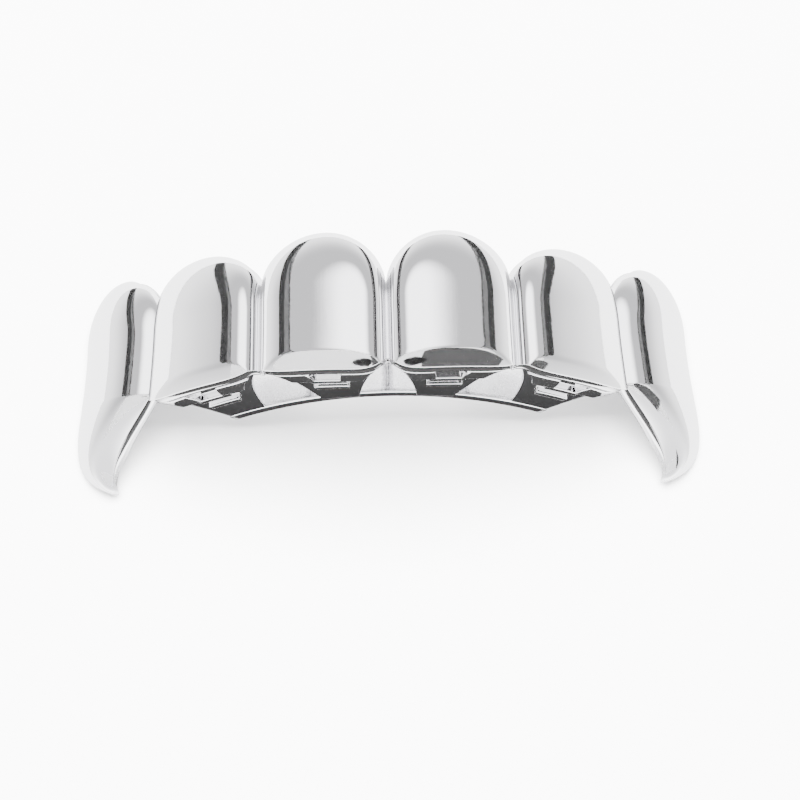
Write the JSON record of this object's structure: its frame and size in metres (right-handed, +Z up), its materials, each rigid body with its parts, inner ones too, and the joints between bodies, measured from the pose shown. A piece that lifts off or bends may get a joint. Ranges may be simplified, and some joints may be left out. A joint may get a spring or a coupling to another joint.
{
  "type": "vampire fang tooth cap row",
  "caption": "Mirror-plated metal row of joined slip-on tooth caps with long end fangs, worn over the upper front teeth as a costume piece.",
  "frame": {"origin": "centre of the bounding box at the level that the fangs' rear edges rest on", "axes": "+X across the row to the right of someone facing the caps' faces with the fangs pointing towards them, +Y towards the gum margin, +Z up out of the faces"},
  "size_m": [0.048, 0.0172, 0.0147],
  "materials": {
    "mirror_plating": "mirror polished plating"
  },
  "bodies": {
    "root": {"fang_cap_row": "mirror_plating"}
  },
  "joints": []
}
